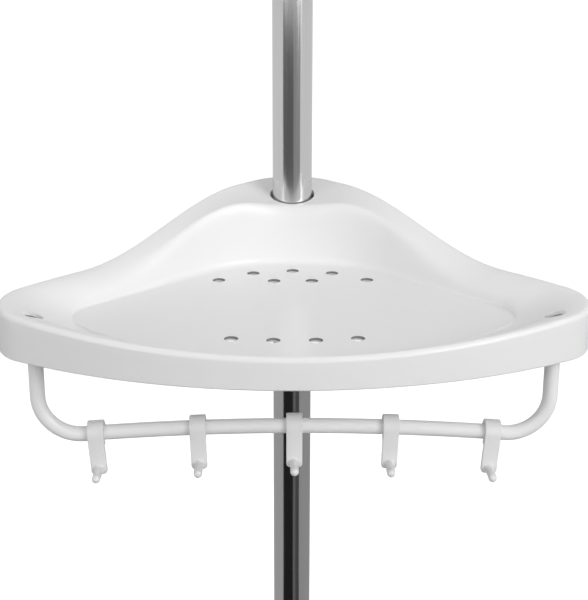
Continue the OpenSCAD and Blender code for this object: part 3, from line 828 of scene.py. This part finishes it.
def stations(length, count):
    """Places along a strip, closer together near its two ends."""
    near = np.array([0, 0.03, 0.1, 0.2, 0.35, 0.55, 0.8, 1.1, 1.5, 1.9, 2.3])
    middle = np.linspace(2.8, length - 2.8, count)
    return np.concatenate([near, middle, length - near[::-1]])


def strip(name, place, length, count, width, end_round):
    """Rounded rectangle carried along a line in the YZ plane. place(s) gives the line's
    y, z and heading at distance s. Point = centre + a n + b x, where (a, b) runs round the
    rectangle, n is square to the heading, and both ends are rounded by inset()."""
    s = stations(length, count)
    y, z, heading = place(s)
    t = 0.5 * CLIP_WALL - inset(np.minimum(s, length - s), END_ROUND)
    near, far = inset(s, END_ROUND), inset(length - s, end_round)
    w = 0.5 * width - np.where(s < length / 2, near, far)
    t, w = np.concatenate([[0], t, [0]]), np.concatenate([[0], w, [0]])
    y, z, heading = (np.concatenate([v[:1], v, v[-1:]]) for v in (y, z, heading))
    box = rounded([(-1, -1), (1, -1), (1, 1), (-1, 1)], EDGE_ROUND, 7)
    a = box[None, :, 0] * (0.5 * CLIP_WALL)
    b = np.sign(box[None, :, 1]) * (0.5 * width - (1 - abs(box[None, :, 1])) * 1.45)
    a, b = a * t[:, None] / (0.5 * CLIP_WALL), b * w[:, None] / (0.5 * width)
    y = y[:, None] - a * np.sin(heading)[:, None]
    z = z[:, None] + a * np.cos(heading)[:, None]
    points = np.stack([b, y, z], axis=-1).reshape(-1, 3)
    return close_up(mesh_object(name, points, grid_faces(len(y), box.shape[0])))


def peg(name):
    """Round bar on a straight, tilted line: a flared root, a barrel and a half-ball tip."""
    s = np.concatenate([np.linspace(0, 4, 14), np.linspace(4.5, PEG_L, 8)])
    r = PEG_R + 0.75 * np.clip(1 - (s - 1.3) / 2.2, 0, 1) ** 2
    u = np.linspace(0, np.pi / 2, 12)[1:]
    s = np.concatenate([[0], s, PEG_L + PEG_R * np.sin(u)])
    r = np.concatenate([[0], r, PEG_R * np.cos(u)])
    f = np.linspace(0, 2 * np.pi, 32, endpoint=False)[None, :]
    out, up = -math.cos(PEG_TILT), math.sin(PEG_TILT)
    x = r[:, None] * np.cos(f)
    lift = r[:, None] * np.sin(f)
    y = -CLIP_R + 1.5 + s[:, None] * out + lift * up
    z = PEG_RISE - STRAP_L + s[:, None] * up - lift * out
    points = np.stack(np.broadcast_arrays(x, y, z), axis=-1).reshape(-1, 3)
    return close_up(mesh_object(name, points, grid_faces(len(s), 32)))


print("strip and peg shapes ready")

# %% One hook, then five
CLIP_MID = CLIP_BORE_R + CLIP_WALL / 2
BACK_LIP, LIP_ROOT, FRONT_LIP = math.radians(-24), math.radians(204), math.radians(264)
HOOK_PLACES = (-111, -54, 0, 54, 111)


def curl_and_strap(s):
    """Arc from the back lip over the rod to its front, then straight down."""
    arc = CLIP_MID * (np.pi - BACK_LIP)
    a = np.minimum(BACK_LIP + s / CLIP_MID, np.pi)
    below = np.maximum(s - arc, 0)
    return CLIP_MID * np.cos(a), CLIP_MID * np.sin(a) - below, a + np.pi / 2


def front_lip(s):
    """Short arc that carries on round the rod behind the strap."""
    a = LIP_ROOT + s / CLIP_MID
    return CLIP_MID * np.cos(a), CLIP_MID * np.sin(a), a + np.pi / 2


strap_length = CLIP_MID * (np.pi - BACK_LIP) + STRAP_L
lip_length = CLIP_MID * (FRONT_LIP - LIP_ROOT)
pattern = strip("hook_pattern", curl_and_strap, strap_length, 60, HOOK_W, TOE_ROUND)
lip = strip("lip", front_lip, lip_length, 8, HOOK_W - 0.1, END_ROUND)
pattern = boolean(pattern, [lip, peg("peg")], "UNION")
print("hook pattern:", len(pattern.data.polygons), "faces")


def hung(number, along):
    """Copy of the pattern, turned about the arch's centre so that it sits square on the rod."""
    turn = along / ARCH_R
    mesh = pattern.data.copy()
    flat = np.empty(len(mesh.vertices) * 3)
    mesh.vertices.foreach_get("co", flat)
    x, y, z = flat.reshape(-1, 3).T / MM
    z = z + ARCH_R
    placed = [
        x * math.cos(turn) + z * math.sin(turn),
        y + RAIL_Y,
        ARCH_CZ - x * math.sin(turn) + z * math.cos(turn),
    ]
    mesh.vertices.foreach_set("co", np.stack(placed, axis=1).ravel() * MM)
    made = bpy.data.objects.new(f"clip_hook_{number}", mesh)
    bpy.context.scene.collection.objects.link(made)
    return made


for number, along in enumerate(HOOK_PLACES, 1):
    dress(hung(number, along), hook_plastic, f"hook_{number}", "hook_plastic", f"hook_{number}")
bpy.data.objects.remove(pattern)

# %% [markdown]
# ## Small metal and hidden pieces
# The screws, washers, wedge halves, spring, plugs and collet keep their exact frame
# shapes: their forms are already right, so they only get finishes.

# %% Finishes on the frame's own pieces
kept = {
    "rail_screws": rod_coating,
    "rail_washers": zinc_steel,
    "tension_spring": zinc_steel,
    "spring_seat": inner_plastic,
    "guide_plug": inner_plastic,
    "lock_collet": inner_plastic,
    "wedge_left": fitting_plastic,
    "wedge_right": fitting_plastic,
}
for node, material in kept.items():
    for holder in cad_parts[node].material_slots:
        holder.material = material
print("kept pieces:", ", ".join(kept))

# %% [markdown]
# ## Floor, light and camera
# A white object on white needs soft light from all round and one side a little brighter,
# or it turns into a flat cut-out. The round steel pole mirrors everything in front of
# it, so, as in a studio, dark and grey cards lie out of view to draw its stripes.


# %% Floor and cards
def flat_card(name, plan, height, tone, glow):
    mesh = bpy.data.meshes.new(name)
    mesh.from_pydata([(x, y, height) for x, y in plan], [], [list(range(len(plan)))])
    card = bpy.data.objects.new(name, mesh)
    bpy.context.scene.collection.objects.link(card)
    finish = Finish(name)
    finish.set(Base_Color=grey(tone), Roughness=0.9)
    finish.set(Emission_Color=grey(1), Emission_Strength=glow)
    mesh.materials.append(finish.material)
    return card


ROOM = 30
room = [(-ROOM, -ROOM), (ROOM, -ROOM), (ROOM, ROOM), (-ROOM, ROOM)]
ground = flat_card("pale_floor", room, 0, 0.9, 0.9)
ground.visible_diffuse = ground.visible_glossy = False
bounce = flat_card("bounce_floor", room, 0.0005, 0.3, 0)
bounce.visible_camera = bounce.visible_shadow = False


def sector(start, end, inner=0.015, outer=60):
    """Fan on the floor round the pole between two bearings, in degrees from straight ahead."""
    a = np.radians(np.linspace(start, end, 24))
    rim = [(outer * math.sin(t), -outer * math.cos(t)) for t in a]
    core = [(inner * math.sin(t), -inner * math.cos(t)) for t in a[::-1]]
    return rim + core


NEAR_END, FAR_START = 0.8, 1.15


def studio_card(name, start, end, near, far):
    """Card seen only in reflections. Its glow goes from near to far with distance from the pole."""
    card = flat_card(name, sector(start, end), 0.002, 0, 1)
    finish = Finish(name + "_glow")
    where = finish.add("ShaderNodeTexCoord", output="Object")
    length = finish.add("ShaderNodeVectorMath", {"operation": "LENGTH"}, {0: where}, output=1)
    blend = {"Value": length, "From Min": NEAR_END, "From Max": FAR_START}
    share = finish.add("ShaderNodeMapRange", {}, blend)
    glow = finish.mix(share, grey(near), grey(far))
    finish.set(Base_Color=grey(0), Specular_IOR_Level=0.0)
    finish.set(Emission_Color=glow, Emission_Strength=1.0)
    card.data.materials[0] = finish.material
    card.visible_camera = card.visible_diffuse = card.visible_shadow = False


cards = {
    "left_card": (-180, -55, 0.37, 0.68),
    "dark_card": (-55, 6, 0.015, 0.11),
    "bright_strip": (6, 22, 0.13, 0.26),
    "grey_card": (22, 45, 0.065, 0.27),
    "right_card": (45, 180, 0.31, 0.68),
}
for name, (start, end, near, far) in cards.items():
    studio_card(name, start, end, near, far)
print("floor and", len(cards), "cards")

# %% [markdown]
# The world gives an even light from all round. Two large soft lamps stand in front, the
# right one stronger, so that the white shapes get a bright and a shaded side.

# %% World and lamps
ROOM_LIGHT, LAMP_SIZE, LAMP_AIM = 0.6, (1.2, 0.9), (0, -0.08, 0.32)
world = bpy.data.worlds.new("soft_room")
bpy.context.scene.world = world
world.use_nodes = True
world.node_tree.nodes["Background"].inputs["Color"].default_value = grey(1)
world.node_tree.nodes["Background"].inputs["Strength"].default_value = ROOM_LIGHT


def lamp(name, place, power):
    """Area lamp at a place, turned by a yaw and a pitch so that it faces the aim point."""
    light = bpy.data.lights.new(name, "AREA")
    light.shape, light.energy = "RECTANGLE", power
    light.size, light.size_y = LAMP_SIZE
    made = bpy.data.objects.new(name, light)
    bpy.context.scene.collection.objects.link(made)
    made.location = place
    way = np.array(LAMP_AIM, float) - np.array(place, float)
    yaw = math.atan2(way[1], way[0]) - math.pi / 2
    pitch = math.atan2(way[2], math.hypot(way[0], way[1]))
    made.rotation_euler = (math.pi / 2 + pitch, 0, yaw)


lamp("key_from_the_right", (1.3, -1.4, 1.0), 18)
lamp("fill_from_the_left", (-1.3, -1.4, 1.0), 6.6)
print("one room light and two lamps")

# %% [markdown]
# The camera stands in front, a little above the tray, and looks down on it through a
# long lens, so that the tray's front arc and its floor both show. A plain view
# transform keeps white surfaces white.

# %% Camera
EYE, LENS_MM = (-0.0076, -0.8581, 0.5646), 82.92
YAW, PITCH_DOWN, ROLL = 0.56, 18.89, -0.09
lens = bpy.data.cameras.new("camera")
lens.sensor_width = 36
lens.lens = LENS_MM
lens.clip_start, lens.clip_end = 0.01, 100
camera = bpy.data.objects.new("camera", lens)
bpy.context.scene.collection.objects.link(camera)
camera.location = EYE
camera.rotation_euler = [math.radians(angle) for angle in (90 - PITCH_DOWN, ROLL, -YAW)]
bpy.context.scene.camera = camera
bpy.context.scene.view_settings.view_transform = "Standard"
print("lens", round(lens.lens, 1), "mm")
